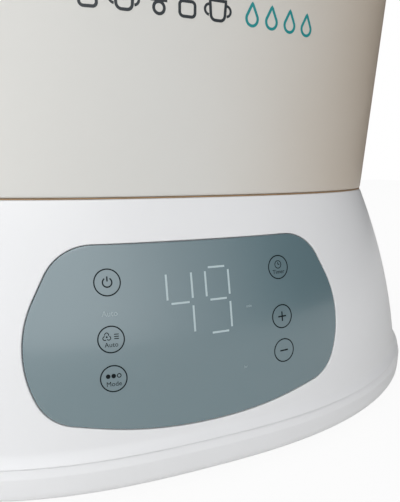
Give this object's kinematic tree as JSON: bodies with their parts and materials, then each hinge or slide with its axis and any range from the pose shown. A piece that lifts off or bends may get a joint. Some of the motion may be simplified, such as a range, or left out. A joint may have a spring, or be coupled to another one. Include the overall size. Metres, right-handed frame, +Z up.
{
  "type": "bottle sterilizer",
  "caption": "Steam bottle sterilizer and dryer: oval heated base with touch panel, lift-off sleeve, bottle rack, tray and clear lid.",
  "frame": {"origin": "centre of the footprint, on the surface that the feet rest on", "axes": "+Z up; -Y is the front, where the control panel is; +X is to the right when facing the panel"},
  "size_m": [0.2956, 0.2364, 0.346],
  "materials": {
    "white_gloss": "cool white, glossy moulded",
    "cream_shell": "warm off-white, satin",
    "panel_grey": "blue-grey, mirror gloss, printed from behind",
    "clear": "clear moulded plastic, polished",
    "rack_white": "white, satin",
    "silicone": "tan silicone, matte",
    "rubber": "black, matte",
    "steel": "brushed",
    "board_green": "green laminate with solder mask",
    "black_plastic": "black, moulded",
    "filter_paper": "white pleated filter paper"
  },
  "bodies": {
    "base": {"base_shell": "white_gloss", "base_bottom": "white_gloss", "panel_lens": "panel_grey", "control_board": "board_green", "display_module": "black_plastic", "buzzer": "black_plastic", "power_board": "board_green", "cord_gland": "rubber", "heating_plate": "steel", "plate_seal": "silicone", "heater_element": "steel", "thermostat": "black_plastic", "thermal_fuse": "steel", "temperature_sensor": "steel", "sensor_bracket": "steel", "fan_casing": "white_gloss", "air_duct": "white_gloss", "air_heater": "steel", "outlet_grille": "white_gloss", "fan_motor": "steel", "touch_pad_1": "rubber", "touch_pad_2": "rubber", "touch_pad_3": "rubber", "touch_pad_4": "rubber", "touch_pad_5": "rubber", "touch_pad_6": "rubber", "base_screw_1": "steel", "foot_1": "rubber", "base_screw_2": "steel", "foot_2": "rubber", "base_screw_3": "steel", "foot_3": "rubber", "base_screw_4": "steel", "foot_4": "rubber"},
    "fan_rotor": {"motor_shaft": "steel", "fan_impeller": "black_plastic"},
    "filter": {"filter_cover": "white_gloss", "air_filter": "filter_paper"},
    "body_sleeve": {"sleeve": "cream_shell", "sleeve_seal": "silicone"},
    "lower_rack": {"bottle_rack": "rack_white", "rack_post": "rack_white"},
    "upper_tray": {"accessory_tray": "rack_white", "tray_knob": "rack_white"},
    "lid": {"lid_shell": "clear", "lid_handle": "white_gloss", "handle_screw_1": "steel", "handle_screw_2": "steel"}
  },
  "joints": [
    {"name": "fan_spin", "type": "hinge", "parent": "base", "child": "fan_rotor", "pos_m": [0.028, 0, 0.03], "axis": [0, 0, 1], "continuous": true},
    {"name": "filter_pull", "type": "slide", "parent": "base", "child": "filter", "axis": [0, 1, 0], "range_m": [0, 0.045]},
    {"name": "sleeve_lift", "type": "slide", "parent": "base", "child": "body_sleeve", "axis": [0, 0, 1], "range_m": [0, 0.19]},
    {"name": "rack_lift", "type": "slide", "parent": "body_sleeve", "child": "lower_rack", "axis": [0, 0, 1], "range_m": [0, 0.2]},
    {"name": "tray_lift", "type": "slide", "parent": "lower_rack", "child": "upper_tray", "axis": [0, 0, 1], "range_m": [0, 0.1]},
    {"name": "lid_lift", "type": "slide", "parent": "upper_tray", "child": "lid", "axis": [0, 0, 1], "range_m": [0, 0.12]}
  ]
}
